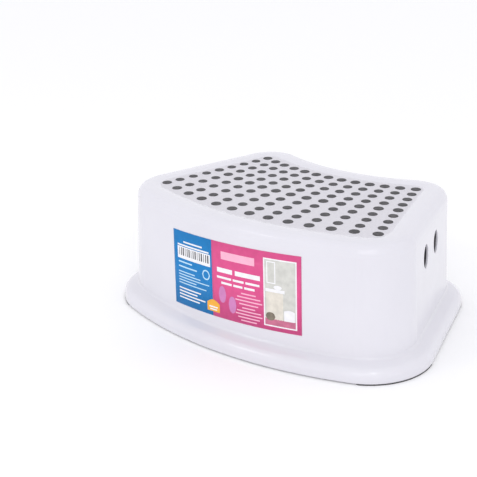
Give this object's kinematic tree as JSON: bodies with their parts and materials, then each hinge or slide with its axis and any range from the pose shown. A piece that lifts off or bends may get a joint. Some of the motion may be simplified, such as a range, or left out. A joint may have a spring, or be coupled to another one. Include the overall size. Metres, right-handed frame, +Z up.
{
  "type": "step stool",
  "caption": "Low family step stool with a studded anti-slip tread, a flared base on soft corner feet and finger holes in both ends.",
  "frame": {"origin": "on the floor under the middle of the stool's bounding box", "axes": "+Z up, -Y towards the convex labelled front, +X to the right as seen from the front"},
  "size_m": [0.3676, 0.269, 0.1298],
  "materials": {
    "shell_plastic": "gloss",
    "stud_rubber": "matte",
    "foot_rubber": "matte",
    "front_sticker": "gloss",
    "rear_sticker": "satin"
  },
  "bodies": {
    "root": {"shell": "shell_plastic", "tread_panel": "shell_plastic", "tread_strip_1": "stud_rubber", "tread_strip_2": "stud_rubber", "tread_strip_3": "stud_rubber", "tread_strip_4": "stud_rubber", "tread_strip_5": "stud_rubber", "tread_strip_6": "stud_rubber", "tread_strip_7": "stud_rubber", "tread_strip_8": "stud_rubber", "tread_strip_9": "stud_rubber", "foot_front_left": "foot_rubber", "foot_front_right": "foot_rubber", "foot_rear_left": "foot_rubber", "foot_rear_right": "foot_rubber", "front_label": "front_sticker", "rear_label": "rear_sticker"}
  },
  "joints": []
}
